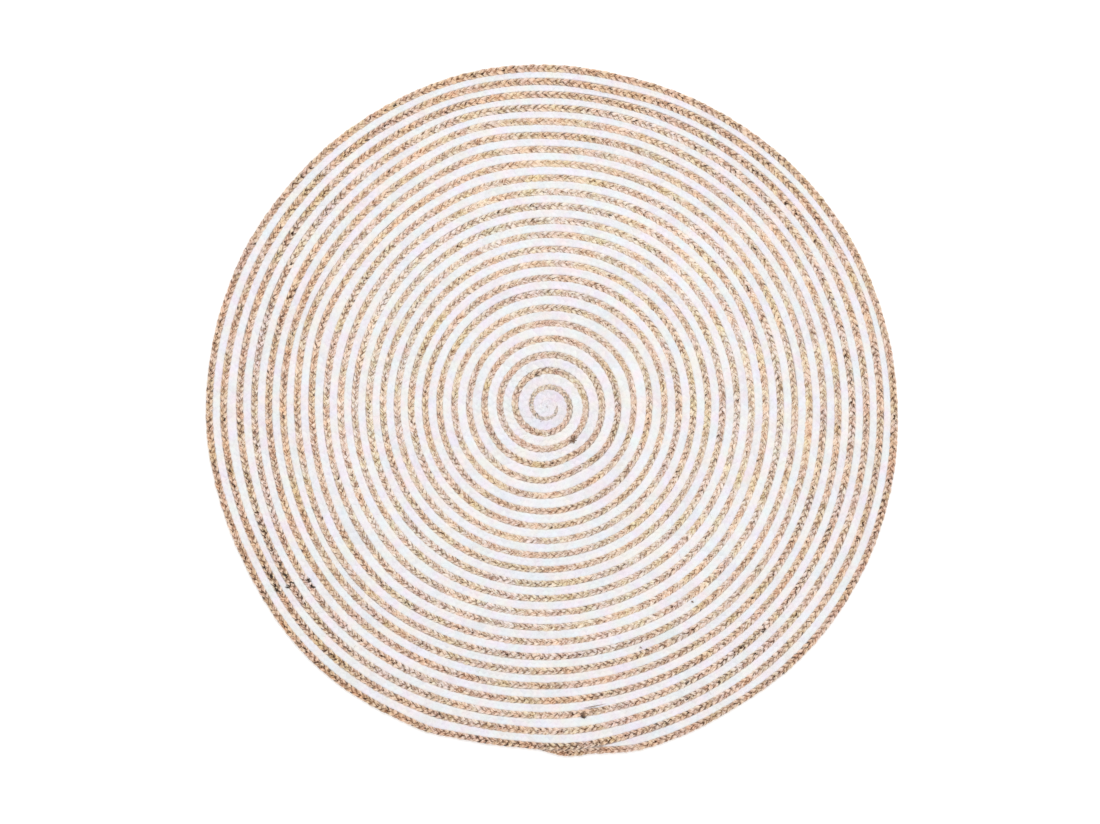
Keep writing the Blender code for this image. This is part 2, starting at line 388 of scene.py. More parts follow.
def makeBraidLength(name, braid, path, cell, shifts, lobes):
    points, faces, loop = cell
    cells = np.arange(lobes[0], lobes[1] + 1)

    def column(key):
        return np.array([point[key] for point in points])

    weights, hand, lobeShare = column("weights"), column("hand"), column("lobe")
    shift = np.zeros((len(cells), len(points)))
    borders = (("borderRight", 0), ("borderRight", 1), ("borderLeft", 0), ("borderLeft", 1))
    for side, (border, first) in enumerate(borders):
        shift += shifts[border][cells + first][:, None] * weights[None, :, side]
    phase = np.clip(cells[:, None] + column("phase") + shift, 0.0, path["phase"][-1])
    swell = np.where(hand > 0, shifts["swellRight"][cells][:, None],
                     shifts["swellLeft"][cells][:, None]) * lobeShare
    turn = np.interp(phase, path["phase"], path["turn"])
    middle = np.interp(phase, path["phase"], path["middle"])
    half = np.interp(phase, path["phase"], path["half"])
    steps = np.arange(len(shifts["width"]))
    small = np.clip(half / (braid["fullWidth"] / 2), 0.2, 1.0)
    blunt = braid["startWidth"] + (1 - braid["startWidth"]) * phase / firstTurns["bluntLobes"]
    blunt = np.clip(blunt, 0.0, 1.0)
    swollen = np.interp(turn, firstTurns["swollen"], [1.0, 0.0])
    ragged = np.interp(turn, firstTurns["ragged"], [1.0, 0.0])
    wide = half + braid["overlap"] * small + braid["startSwell"] * swollen
    rough = 1 + braid["startRough"] * ragged
    wide = wide * (1 + rough * (np.interp(phase, steps, shifts["width"]) - 1)) * blunt
    thinning = braid["thinning"]
    tall = braid["thickness"] * (1 - thinning + thinning * small)
    tall = tall * np.interp(phase, steps, shifts["height"])
    tall = tall * (0.5 + 0.5 * blunt)
    relief = braid["relief"] * (1 + braid["startRelief"] * ragged)
    dent = relief * column("dent") * column("depth") * small - swell
    radius = middle + (rough * np.interp(phase, steps, shifts["aside"]) + braid["shift"]) * small
    radius = radius + column("out") * wide - column("dentOut") * dent
    height = tall / 2 * (1 + column("up")) - column("dentUp") * dent
    height = np.maximum(height, 0.05 * mm)
    angle = math.tau * turn
    place = np.stack([radius * np.cos(angle) - coil["middle"][0],
                      -radius * np.sin(angle) - coil["middle"][1], height], axis=-1)
    place = place.reshape(-1, 3)

    count, total = len(cells) - 1, len(points)
    across = np.arange(count)[:, None]
    corners, sizes, maps, lobeOf, strandOf = [], [], [], [], []
    for side in (3, 4):
        chosen = [face for face in faces if len(face[1]) == side]
        local = np.array([[shiftBy * total + point for shiftBy, point in face[1]] for face in chosen])
        corners.append((across[:, :, None] * total + local[None]).reshape(-1))
        sizes.append(np.full(count * len(chosen), side))
        faceMap = np.array([face[2] for face in chosen])  # faces, corners, 2
        full = np.repeat(faceMap[None], count, axis=0)
        full[..., 0] += cells[:-1, None, None] * braid["pitch"]
        maps.append(full.reshape(-1, 2))
        faceHand = np.array([face[0] for face in chosen])
        lobeOf.append((2 * cells[:-1, None] + (faceHand[None] < 0)).reshape(-1))
        strandOf.append(((cells[:-1, None] + (faceHand[None] < 0)) % 3).reshape(-1))
    # The two cut ends
    for end, first in ((0, 0), (1, count * total)):
        ring = np.array(loop) + first
        centre = len(place)
        place = np.concatenate([place, place[ring].mean(axis=0, keepdims=True)])
        after = np.roll(ring, -1)
        fan = [ring, after] if end == 0 else [after, ring]
        corners.append(np.stack([*fan, np.full(len(ring), centre)], axis=1).reshape(-1))
        sizes.append(np.full(len(ring), 3))
        maps.append(np.zeros((3 * len(ring), 2)))
        lobeOf.append(np.full(len(ring), -1 - end))
        strandOf.append(np.zeros(len(ring), dtype=int))
    corners, sizes = np.concatenate(corners), np.concatenate(sizes)
    maps, lobeOf, strandOf = np.concatenate(maps), np.concatenate(lobeOf), np.concatenate(strandOf)
    used, corners = np.unique(corners, return_inverse=True)
    # How deep each point lies in a crease, less along the zigzag; this sets the painted shade in the
    # creases and pits
    depth = np.array([point.get("shade", point["depth"]) for point in points])
    depth = np.concatenate([np.tile(depth, len(cells)), [1.0, 1.0]])[used]
    thing = makeMesh(name, place[used], corners.reshape(-1), sizes)
    mesh = thing.data
    yarn = mesh.uv_layers.new(name="yarn")
    yarn.data.foreach_set("uv", maps.astype(np.float32).ravel())
    addAttribute(mesh, "lobe", "FLOAT", "FACE", lobeOf.astype(np.float32))
    addAttribute(mesh, "strand", "FLOAT", "FACE", strandOf.astype(np.float32))
    addAttribute(mesh, "crease", "FLOAT", "POINT", depth.astype(np.float32))
    edge = np.clip((np.abs(column("out")) - 0.5) / 0.5, 0, 1) ** 1.5
    edge = np.concatenate([np.tile(edge, len(cells)), [0.0, 0.0]])[used]
    addAttribute(mesh, "edge", "FLOAT", "POINT", edge.astype(np.float32))
    # Creases between strands are sharp, and each strand is smooth
    edgeOf = np.empty(len(corners), dtype=np.int32)
    mesh.loops.foreach_get("edge_index", edgeOf)
    lobeAt = np.repeat(lobeOf, sizes)
    lowest, highest = np.full(len(mesh.edges), 1e9), np.full(len(mesh.edges), -1e9)
    np.minimum.at(lowest, edgeOf, lobeAt)
    np.maximum.at(highest, edgeOf, lobeAt)
    mesh.polygons.foreach_set("use_smooth", np.ones(len(sizes), dtype=bool))
    addAttribute(mesh, "sharp_edge", "BOOLEAN", "EDGE", lowest != highest)
    mesh.update()
    return thing


# Materials

def addNode(tree, kind, inputs=(), **settings):
    node = tree.nodes.new("ShaderNode" + kind)
    for key, value in settings.items():
        setattr(node, key, value)
    for key, value in dict(inputs).items():
        if isinstance(value, bpy.types.NodeSocket):
            tree.links.new(value, node.inputs[key])
        else:
            node.inputs[key].default_value = value
    return node


def newMaterial(name, roughness, sheen, sheenRoughness):
    material = bpy.data.materials.new(name)
    material.use_nodes = True
    shader = material.node_tree.nodes["Principled BSDF"]
    shader.inputs["Roughness"].default_value = roughness
    shader.inputs["Sheen Weight"].default_value = sheen
    shader.inputs["Sheen Roughness"].default_value = sheenRoughness
    shader.inputs["Specular IOR Level"].default_value = 0.25
    return material, material.node_tree, shader


def attributeOf(tree, name):
    return addNode(tree, "Attribute", attribute_name=name).outputs["Fac"]


# Metres along the yarn, and the share across it
def yarnPlace(tree):
    return addNode(tree, "SeparateXYZ", {0: addNode(tree, "UVMap", uv_map="yarn").outputs["UV"]}).outputs


def mixColors(tree, factor, first, second, blend="MIX"):
    node = addNode(tree, "Mix", data_type="RGBA", blend_type=blend)
    for slot, value in ((0, factor), (6, first), (7, second)):
        if isinstance(value, bpy.types.NodeSocket):
            tree.links.new(value, node.inputs[slot])
        else:
            node.inputs[slot].default_value = value
    return node.outputs[2]


# Multiplies a color by a shade, as far as factor says
def shaded(tree, factor, color, shade):
    return mixColors(tree, factor, color, mixColors(tree, 1.0, color, (*shade, 1), "MULTIPLY"))


def math2(tree, operation, first, second, third=0.0):
    return addNode(tree, "Math", {0: first, 1: second, 2: third}, operation=operation).outputs[0]


def ramp(tree, factor, stops):
    node = addNode(tree, "ValToRGB", {"Fac": factor})
    elements = node.color_ramp.elements
    elements.remove(elements[1])
    elements[0].position = stops[0][0]
    elements[0].color = (*stops[0][1], 1.0)
    for position, color in stops[1:]:
        elements.new(position).color = (*color, 1.0)
    return node.outputs["Color"]


def addBump(tree, shader, height, strength, distance):
    bump = addNode(tree, "Bump", {"Height": height, "Strength": strength, "Distance": distance})
    tree.links.new(bump.outputs[0], shader.inputs["Normal"])


def mapRange(tree, value, fromLow, fromHigh, toLow, toHigh):
    node = addNode(tree, "MapRange", {"Value": value, "From Min": fromLow, "From Max": fromHigh,
                                      "To Min": toLow, "To Max": toHigh})
    return node.outputs["Result"]


# The yarn's own coordinates, stretched: along it, across it, and one number for each lobe or strand
def yarnCoordinates(tree, alongScale, acrossScale, tag, tagScale, offset=0.0):
    place = yarnPlace(tree)
    return addNode(tree, "CombineXYZ", {
        0: math2(tree, "MULTIPLY", place[0], alongScale),
        1: math2(tree, "MULTIPLY", place[1], acrossScale),
        2: math2(tree, "MULTIPLY_ADD", attributeOf(tree, tag), tagScale, offset),
    }).outputs[0]


juteFinish = {
    "tones": [  # the yarn's colours from dark to light, linear
        (0.00, (0.22, 0.106, 0.054)),
        (0.20, (0.485, 0.292, 0.183)),
        (0.42, (0.725, 0.525, 0.385)),
        (0.62, (0.885, 0.690, 0.538)),
        (0.95, (0.965, 0.825, 0.682)),
    ],
    "tints": [  # from pinkish to olive
        (0.10, (1.08, 0.95, 0.90)),
        (0.34, (1.04, 0.975, 0.97)),
        (0.52, (1.00, 1.000, 1.00)),
        (0.70, (0.98, 1.00, 0.91)),
        (0.95, (0.93, 1.00, 0.80)),
    ],
    "fades": [  # the darker a long stretch of the braid, the browner it is
        (0.28, (1.01, 0.965, 0.90)),
        (0.50, (1.00, 1.000, 1.00)),
        (0.72, (0.99, 1.015, 1.07)),
    ],
    "riches": [  # from a fuller yellow to a greyer straw
        (0.25, (1.030, 0.990, 0.89)),
        (0.50, (1.000, 1.000, 1.00)),
        (0.75, (0.970, 1.005, 1.11)),
    ],
    "lengthSwing": 0.21,  # slow changes along the whole braid, then along each yarn
    "strandSwing": 0.42,
    "lobeSwing": 0.19,
    "bundleSwing": 1.9,  # the flat bundles of fibre in a strand, 2 to 3 mm wide
    "fibreSwing": 1.3,
    "fleckSwing": 0.22,
    "grooveShade": 0.22,  # painted shade in the groove between the two yarns of a strand
    "crestTone": 0.237,
    # painted shade in the creases between strands
    "creaseShade": (0.50, 0.405, 0.330),
    "pits": [  # noise from and to, how much crease fills them, offset, painted shade
        (0.53, 0.61, 0.62, 0.0, (0.33, 0.235, 0.175)),
        (0.655, 0.70, 0.36, 5.5, (0.12, 0.075, 0.050)),
    ],
    "paleSide": (0.050, 0.087),  # paler this way, for each metre
    "rim": [  # metres from the middle, then the shade there, set from the photo's mean colours
        (0.10, (0.992, 1.008, 1.061)),
        (0.217, (1.026, 1.058, 1.112)),
        (0.375, (1.056, 1.123, 1.190)),
        (0.484, (1.078, 1.142, 1.222)),
        (0.573, (1.030, 1.033, 1.043)),
        (0.65, (1.052, 1.070, 1.130)),
        (0.72, (1.015, 0.973, 0.955)),
        (0.755, (0.978, 0.915, 0.890)),
    ],
    "noises": {  # changes in a metre along and a strand across, what each follows, its scale, detail
        "whole": (0.6, 0.0, "strand", 0.0, 2.0, 0.45, 7.7),  # then roughness and offset
        "slow": (1.3, 0.0, "strand", 17.3, 3.0, 0.5),
        "bundles": (110.0, 3.4, "lobe", 5.1, 2.0),
        "fibres": (150.0, 15.0, "lobe", 3.7, 3.0),
        "flecks": (230.0, 2.8, "lobe", 6.3, 1.0),
        "groove": (70.0, 0.0, "lobe", 7.1, 2.0),
        "tintLong": (2.6, 0.0, "strand", 0.0, 3.0, 0.5, 3.1),
        "tintStrand": (5.4, 0.0, "strand", 41.0, 4.0),
        "tintBundles": (60.0, 1.6, "lobe", 8.3, 2.0),
        "richLong": (9.0, 0.0, "strand", 0.0, 4.0, 0.6, 2.3),
        "richBundles": (75.0, 1.8, "lobe", 7.7, 2.0),
        "creases": (80.0, 2.2, "lobe", 9.1, 1.0),
        "pitStretches": (1.6, 0.0, "strand", 0.0, 3.0, 0.55, 9.2),
        "pits": (95.0, 1.6, "lobe", 2.9, 2.0),
        "start": (100.0, 1.2, "lobe", 4.9, 1.0),
    },
    "startColor": (0.80, 0.76, 0.71),  # the thin first turn is pale, with grey marks
    "startMark": (0.29, 0.32, 0.32),
    # paler edges: white fluff, and painted light from the white braid beside them
    "edgeFluffAndLight": (0.86, 0.80, 0.74),
    "edgeStrength": 0.30,
    "roughness": 0.88,
    "sheen": 0.12,
    "bump": 0.6,
}


# Noise on the yarn's own coordinates; the scales count changes in a metre along and a strand across
def yarnNoise(tree, along, across, tag, tagScale, detail, roughness=0.55, offset=0.0):
    place = yarnCoordinates(tree, along, across, tag, tagScale, offset)
    return addNode(tree, "TexNoise", {"Vector": place, "Scale": 1.0, "Detail": detail,
                                      "Roughness": roughness}).outputs["Fac"]


# Noise in the rug's own space, for changes that don't follow the yarn
def spaceNoise(tree, scale, detail, offset):
    place = addNode(tree, "VectorMath", {0: addNode(tree, "TexCoord").outputs["Object"],
                                         1: (0.0, 0.0, offset)}, operation="ADD").outputs[0]
    return addNode(tree, "TexNoise", {"Vector": place, "Scale": scale, "Detail": detail,
                                      "Roughness": 0.55}).outputs["Fac"]


# Adds a noise's swing round its middle value
def swung(tree, value, noise, amount):
    return math2(tree, "ADD", value, math2(tree, "MULTIPLY", math2(tree, "SUBTRACT", noise, 0.5), amount))


def makeJuteMaterial():
    finish = juteFinish
    material, tree, shader = newMaterial("naturalJute", finish["roughness"], finish["sheen"], 0.5)
    lobe = attributeOf(tree, "lobe")
    chance = addNode(tree, "TexWhiteNoise", {"W": lobe}, noise_dimensions="1D")
    chanceTone = chance.outputs["Value"]
    chances = addNode(tree, "SeparateXYZ", {0: chance.outputs["Color"]})
    chanceTint, chanceShade = chances.outputs[1], chances.outputs[2]
    noises = finish["noises"]
    whole = yarnNoise(tree, *noises["whole"])
    slow = yarnNoise(tree, *noises["slow"])
    bundles = yarnNoise(tree, *noises["bundles"])
    fibres = yarnNoise(tree, *noises["fibres"])
    flecks = mapRange(tree, yarnNoise(tree, *noises["flecks"]), 0.38, 0.62, 0.0, 1.0)
    crease = attributeOf(tree, "crease")
    place = addNode(tree, "SeparateXYZ", {0: addNode(tree, "TexCoord").outputs["Object"]})
    # Paler towards one side across the whole rug
    paleX, paleY = finish["paleSide"]
    tone = math2(tree, "MULTIPLY_ADD", place.outputs[0], paleX, 0.5 + finish["crestTone"])
    tone = math2(tree, "MULTIPLY_ADD", place.outputs[1], paleY, tone)
    tone = swung(tree, tone, whole, finish["lengthSwing"])
    tone = swung(tree, tone, slow, finish["strandSwing"])
    tone = swung(tree, tone, chanceTone, finish["lobeSwing"] * 2)
    tone = swung(tree, tone, bundles, finish["bundleSwing"])
    tone = swung(tree, tone, fibres, finish["fibreSwing"])
    tone = swung(tree, tone, flecks, finish["fleckSwing"])
    # The groove between a strand's two yarns: painted shade in the colour, and a dent in the bump
    wander = math2(tree, "SUBTRACT", yarnPlace(tree)[1], 0.5)
    wander = swung(tree, wander, yarnNoise(tree, *noises["groove"]), 0.9)
    groove = mapRange(tree, math2(tree, "ABSOLUTE", wander, 0.0), 0.02, 0.20, 1.0, 0.0)
    tone = math2(tree, "MULTIPLY_ADD", groove, -finish["grooveShade"], tone)
    color = ramp(tree, tone, finish["tones"])
    tint = swung(tree, 0.5, yarnNoise(tree, *noises["tintLong"]), 0.50)
    tint = swung(tree, tint, spaceNoise(tree, 24.0, 2.0, 5.3), 1.8)
    tint = swung(tree, tint, yarnNoise(tree, *noises["tintStrand"]), 0.8)
    tint = swung(tree, tint, chanceTint, 0.20)
    tint = swung(tree, tint, yarnNoise(tree, *noises["tintBundles"]), 0.5)
    dyed = mapRange(tree, tone, 0.35, 0.85, 1.0, 0.6)
    color = mixColors(tree, dyed, color, ramp(tree, tint, finish["tints"]), "MULTIPLY")
    rich = swung(tree, 0.5, yarnNoise(tree, *noises["richLong"]), 0.9)
    rich = swung(tree, rich, spaceNoise(tree, 22.0, 2.0, 6.6), 1.3)
    rich = swung(tree, rich, yarnNoise(tree, *noises["richBundles"]), 0.4)
    color = mixColors(tree, 1.0, color, ramp(tree, rich, finish["riches"]), "MULTIPLY")
    # Painted shade in the creases, stronger at some lobes and broken up by noise
    shade = math2(tree, "MULTIPLY", math2(tree, "POWER", crease, 0.5),
                  mapRange(tree, chanceShade, 0.0, 1.0, 0.25, 1.00))
    shade = math2(tree, "MULTIPLY", shade, mapRange(
        tree, yarnNoise(tree, *noises["creases"]), 0.35, 0.65, 0.35, 1.35))
    color = shaded(tree, shade, color, finish["creaseShade"])
    color = mixColors(tree, 1.0, color, ramp(tree, whole, finish["fades"]), "MULTIPLY")
    # Painted shade, dark, in pits here and there where the strands cross
    away = addNode(tree, "VectorMath", {0: addNode(tree, "CombineXYZ", {
        0: place.outputs[0], 1: place.outputs[1]}).outputs[0]}, operation="LENGTH").outputs["Value"]
    often = mapRange(tree, away, 0.56, 0.69, 0.0, 0.05)
    often = math2(tree, "ADD", often, mapRange(tree, place.outputs[0], -0.20, -0.62, 0.0, 0.015))
    often = math2(tree, "ADD", often, mapRange(tree, place.outputs[1], 0.30, -0.50, 0.0, 0.020))
    often = swung(tree, often, yarnNoise(tree, *noises["pitStretches"]), 0.25)
    for low, high, wide, offset, shade in finish["pits"]:
        patchy = math2(tree, "ADD", yarnNoise(tree, *noises["pits"], offset=offset), often)
        patchy = mapRange(tree, patchy, low, high, 0.0, 1.0)
        pits = math2(tree, "MULTIPLY", mapRange(tree, crease, 0.08, wide, 0.0, 1.0), patchy)
        color = shaded(tree, pits, color, shade)
    # Paler inside, redder and darker towards the rim
    color = mixColors(tree, 1.0, color, ramp(tree, away, finish["rim"]), "MULTIPLY")
    # Paler edges, partly white fluff and partly painted light thrown back from the white braid beside them;
    # white fluff also pales the thin first turn
    edge = attributeOf(tree, "edge")
    edge = math2(tree, "MULTIPLY", edge, finish["edgeStrength"])
    color = mixColors(tree, edge, color, (*finish["edgeFluffAndLight"], 1))
    early = mapRange(tree, yarnPlace(tree)[0], 0.20, 0.50, 1.0, 0.0)
    pale = yarnNoise(tree, *noises["start"])
    mark = math2(tree, "MULTIPLY", early, mapRange(tree, pale, 0.42, 0.35, 0.0, 0.8))
    pale = math2(tree, "MULTIPLY", early, mapRange(tree, pale, 0.46, 0.60, 0.15, 0.85))
    color = mixColors(tree, pale, color, (*finish["startColor"], 1))
    color = mixColors(tree, mark, color, (*finish["startMark"], 1))
    tree.links.new(color, shader.inputs["Base Color"])
    relief = math2(tree, "ADD", math2(tree, "MULTIPLY", bundles, 1.3), math2(tree, "MULTIPLY", fibres, 0.7))
    relief = math2(tree, "MULTIPLY_ADD", groove, -0.5, relief)
    addBump(tree, shader, relief, finish["bump"], 1.2 * mm)
    return material


whiteFinish = {
    "tones": [
        (0.25, (0.780, 0.764, 0.788)),
        (0.50, (0.847, 0.830, 0.848)),
        (0.75, (0.884, 0.876, 0.885)),
    ],
    "tints": [  # from pinkish to a cool grey green
        (0.20, (1.030, 0.955, 1.020)),
        (0.50, (1.000, 1.000, 1.000)),
        (0.80, (0.960, 1.020, 0.990)),
    ],
    "warmths": [
        (0.25, (1.040, 1.000, 0.940)),
        (0.50, (1.000, 1.000, 1.000)),
        (0.75, (0.965, 1.000, 1.050)),
    ],
    "coreTint": (0.985, 0.945, 0.985),
    # painted shade in the creases
    "creaseShade": (0.80, 0.78, 0.81),
    "creaseStrength": 0.25,
    # painted light, warm, along the edges
    "edgeLight": (1.09, 1.045, 0.995),
    "roughness": 0.92,
    "sheen": 0.08,
    "bump": 0.4,
}


def makeWhiteMaterial():
    finish = whiteFinish
    material, tree, shader = newMaterial("whiteYarn", finish["roughness"], finish["sheen"], 0.5)
    streak = yarnNoise(tree, 90.0, 18.0, "lobe", 3.7, 4.0, 0.6)
    blotch = yarnNoise(tree, 150.0, 2.0, "lobe", 5.1, 3.0)
    slow = yarnNoise(tree, 6.0, 0.0, "strand", 0.0, 5.0, 0.6, 1.7)
    lobe = attributeOf(tree, "lobe")
    chance = addNode(tree, "TexWhiteNoise", {"W": lobe}, noise_dimensions="1D").outputs["Value"]
    tone = swung(tree, swung(tree, 0.5, chance, 0.25), blotch, 0.8)
    tone = swung(tree, swung(tree, tone, slow, 0.8), streak, 0.4)
    color = ramp(tree, tone, finish["tones"])
    tint = swung(tree, 0.5, spaceNoise(tree, 5.0, 2.0, 4.4), 0.45)
    tint = swung(tree, tint, spaceNoise(tree, 30.0, 2.0, 6.1), 1.5)
    tint = swung(tree, tint, blotch, 0.4)
    color = mixColors(tree, 1.0, color, ramp(tree, tint, finish["tints"]), "MULTIPLY")
    warmth = swung(tree, 0.5, spaceNoise(tree, 6.0, 2.0, 8.1), 0.35)
    warmth = swung(tree, warmth, spaceNoise(tree, 24.0, 2.0, 9.7), 1.3)
    color = mixColors(tree, 1.0, color, ramp(tree, warmth, finish["warmths"]), "MULTIPLY")
    core = mapRange(tree, yarnPlace(tree)[0], 0.20, 0.40, 0.8, 0.0)
    color = shaded(tree, core, color, finish["coreTint"])
    # Painted shade in the white braid's creases
    crease = attributeOf(tree, "crease")
    shade = math2(tree, "MULTIPLY", math2(tree, "POWER", crease, 2.5), finish["creaseStrength"])
    color = mixColors(tree, shade, color, (*finish["creaseShade"], 1))
    # Painted light along the white braid's edges, lifting and warming the shade where it meets the jute
    edge = attributeOf(tree, "edge")
    color = shaded(tree, edge, color, finish["edgeLight"])
    tree.links.new(color, shader.inputs["Base Color"])
    relief = math2(tree, "ADD", streak, math2(tree, "MULTIPLY", blotch, 0.6))
    addBump(tree, shader, relief, finish["bump"], 0.8 * mm)
    return material


# The two braids, each made in a few lengths. Relief scales the dents, shift moves the braid out, thinning
# says how much of the height goes with the width, and the start values shape the first turns.

jute = {
    "pitch": 14.83 * mm, "fullWidth": 15.4 * mm, "thickness": 9.0 * mm, "overlap": 0.35 * mm,
    "relief": 1.15, "shift": -0.75 * mm, "thinning": 0.25,
    "startSwell": 1.3 * mm, "startRough": 1.2, "startRelief": 0.0, "startWidth": 0.35,
    "cuts": 4, "rows": (0, 1, 2, 3, 4, 5), "lengths": ["inner", "middle", "outer"],
    "strandDrift": 1.8 * mm, "jitter": 1.9 * mm, "swell": 0.75 * mm,
    "widthSwing": 0.08, "heightSwing": 0.05, "asideSwing": 0.6 * mm,
}

white = {
    "pitch": 15.2 * mm, "fullWidth": 16.0 * mm, "thickness": 8.0 * mm, "overlap": 2.2 * mm,
    "relief": 0.42, "shift": -0.35 * mm, "thinning": 0.5,
    "startSwell": 0.0, "startRough": 1.0, "startRelief": 1.6, "startWidth": 1.0,
    "cuts": 3, "rows": (0, 1, 2, 3, 5), "lengths": ["inner", "outer"],
    "strandDrift": 1.2 * mm, "jitter": 1.0 * mm, "swell": 0.3 * mm,
    "widthSwing": 0.03, "heightSwing": 0.04, "asideSwing": 0.2 * mm,
}


def makeBraid(name, braid, edges, turns, material, random):
    path = braidPath(edges, turns, braid["pitch"], braid["fullWidth"])
    lobeCount = int(path["phase"][-1] - 1.6)
    shifts = braidShifts(random, lobeCount + 4, braid)
    cell = plaitCell(braid["cuts"], [plait["round"][row] for row in braid["rows"]])
    bounds = np.linspace(0, lobeCount, len(braid["lengths"]) + 1).astype(int)
    for part, first, last in zip(braid["lengths"], bounds, bounds[1:]):
        piece = makeBraidLength(f"{name}_{part}_length", braid, path, cell, shifts, (first, last))
        piece.data.materials.append(material)
        reach = np.interp([first, last], path["phase"], path["length"])
        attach(piece, "root")
        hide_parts(name)
        piece.data.calc_loop_triangles()
        report(f"{piece.name}: {reach[1] - reach[0]:.2f} m, {len(piece.data.loop_triangles)} triangles")
    return path


random = np.random.default_rng(20)
jutePath = makeBraid("jute_braid", jute, juteEdges, coil["juteTurns"],
                     makeJuteMaterial(), random)
makeBraid("white_braid", white, whiteEdges, coil["whiteTurns"],
          makeWhiteMaterial(), random)

# Loose fibres and cut yarn ends: thin closed tubes with pointed tips, all of one kind in one mesh

def makeFibres(name, routes, thickness):
    count, steps = routes.shape[:2]
    along = np.gradient(routes, axis=1)
    along /= np.linalg.norm(along, axis=2, keepdims=True)
    side = np.cross(along, (0.0, 0.0, 1.0)) + (1e-6, 0.0, 0.0)
    side /= np.linalg.norm(side, axis=2, keepdims=True)
    over = np.cross(side, along)
    share = np.linspace(0, 1, steps)[None, :, None]
    radius = thickness[:, None, None] / 2 * np.sqrt(np.sin(math.pi * (0.08 + 0.84 * share)))
    rings = [routes + radius * (math.cos(turn) * side + math.sin(turn) * over)
             for turn in (math.pi / 2, math.pi * 7 / 6, math.pi * 11 / 6)]
    rings = np.stack(rings, axis=2)[:, 1:-1].reshape(count, -1, 3)
    points = np.concatenate([routes[:, :1], rings, routes[:, -1:]], axis=1)
    total, last = points.shape[1], points.shape[1] - 1
    faces = [(0, 1 + (k + 1) % 3, 1 + k) for k in range(3)]
    faces += [(last, last - 3 + k, last - 3 + (k + 1) % 3) for k in range(3)]
    for ring in range(steps - 3):
        first = 1 + 3 * ring
        for k in range(3):
            one, two = first + k, first + (k + 1) % 3
            faces += [(one, two, two + 3), (one, two + 3, one + 3)]
    local = np.array(faces)
    corners = (np.arange(count)[:, None, None] * total + local[None]).reshape(-1)
    thing = makeMesh(name, points.reshape(-1, 3), corners, np.full(count * len(faces), 3))
    thing.data.polygons.foreach_set("use_smooth", np.ones(count * len(faces), dtype=bool))
    chance = np.repeat(np.random.default_rng(count).uniform(0, 1, count), len(faces))
    addAttribute(thing.data, "fibre", "FLOAT", "FACE", chance.astype(np.float32))
    return thing


rugTop = [  # share of the jute's half width from its middle line, height of the rug's top in mm
    (0.0, 8.7), (0.75, 8.7), (0.95, 6.9), (1.15, 7.5), (1.4, 7.8),
]


def topHeight(aside, half):
    return fromTable(rugTop, np.abs(aside) / half)


# Points beside a braid: turn and metres along from there, metres to the side, and height
def besidePath(path, turn, along, aside, height):
    radius = np.interp(turn, path["turn"], path["middle"])
    turn = turn + along / (math.tau * radius)
    radius = np.interp(turn, path["turn"], path["middle"]) + aside
    angle = math.tau * turn
    return np.stack([radius * np.cos(angle) - coil["middle"][0],
                     -radius * np.sin(angle) - coil["middle"][1], height], axis=-1)


# Short fibres all along a braid, lying over its top: some free at one end, the others arched
def looseRoutes(random, path, loose):
    count, steps, spread = loose["count"], loose["steps"], loose["spread"]
    turn = np.interp(random.uniform(0, path["length"][-1], count), path["length"], path["turn"])[:, None]
    length = loose["longest"] * (0.25 + 0.75 * random.beta(1.3, 2.6, count))[:, None]
    heading = np.where(random.uniform(0, 1, count) < 0.5, 1, -1) * random.normal(0.62, 0.40, count)
    heading = (heading + np.where(random.uniform(0, 1, count) < 0.5, 0, math.pi))[:, None]
    bend = random.normal(0, 0.9, count)[:, None]
    share = np.linspace(0, 1, steps)[None, :]
    turned = heading + bend * share
    half = np.interp(turn, path["turn"], path["half"])
    stepAlong, stepAside = np.cos(turned) * length / steps, np.sin(turned) * length / steps
    along = np.cumsum(stepAlong, axis=1) - stepAlong[:, :1]
    aside = random.uniform(-spread, spread, count)[:, None] * half + np.cumsum(stepAside, axis=1)
    rise = loose["lift"] * random.beta(1.2, 3.0, count)[:, None]
    free = random.uniform(0, 1, count)[:, None] < 0.45
    arch = np.where(free, share ** 1.3, np.sin(math.pi * share) ** 0.8)
    height = topHeight(aside, half) - 0.5 * mm + 0.35 * mm * np.sin(math.pi * share) + rise * arch
    return besidePath(path, np.repeat(turn, steps, axis=1), along, aside, height)


def fibreMaterial(name, tones, roughness):
    material, tree, shader = newMaterial(name, roughness, 0.1, 0.5)
    chance = attributeOf(tree, "fibre")
    place = addNode(tree, "TexCoord").outputs["Object"]
    blotch = addNode(tree, "TexNoise", {"Vector": place, "Scale": 260.0, "Detail": 2.0}).outputs["Fac"]
    color = ramp(tree, swung(tree, chance, blotch, 0.6), tones)
    tree.links.new(color, shader.inputs["Base Color"])
    addBump(tree, shader, blotch, 0.3, 0.2 * mm)
    return material


def dressExtra(piece, material):
    piece.data.materials.append(material)
    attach(piece, "root")
    report(f"{piece.name}: {len(piece.data.polygons)} triangles")


straw = [(0.0, (0.36, 0.24, 0.15)), (0.5, (0.66, 0.52, 0.38)), (1.0, (0.88, 0.78, 0.64))]
fluff = [(0.0, (0.80, 0.79, 0.80)), (1.0, (0.90, 0.89, 0.90))]
darkEnds = [(0.0, (0.010, 0.007, 0.005)), (0.5, (0.030, 0.019, 0.012)), (1.0, (0.15, 0.085, 0.050))]
brown = [(0.0, (0.13, 0.070, 0.040)), (0.5, (0.28, 0.165, 0.100)), (1.0, (0.50, 0.345, 0.235))]

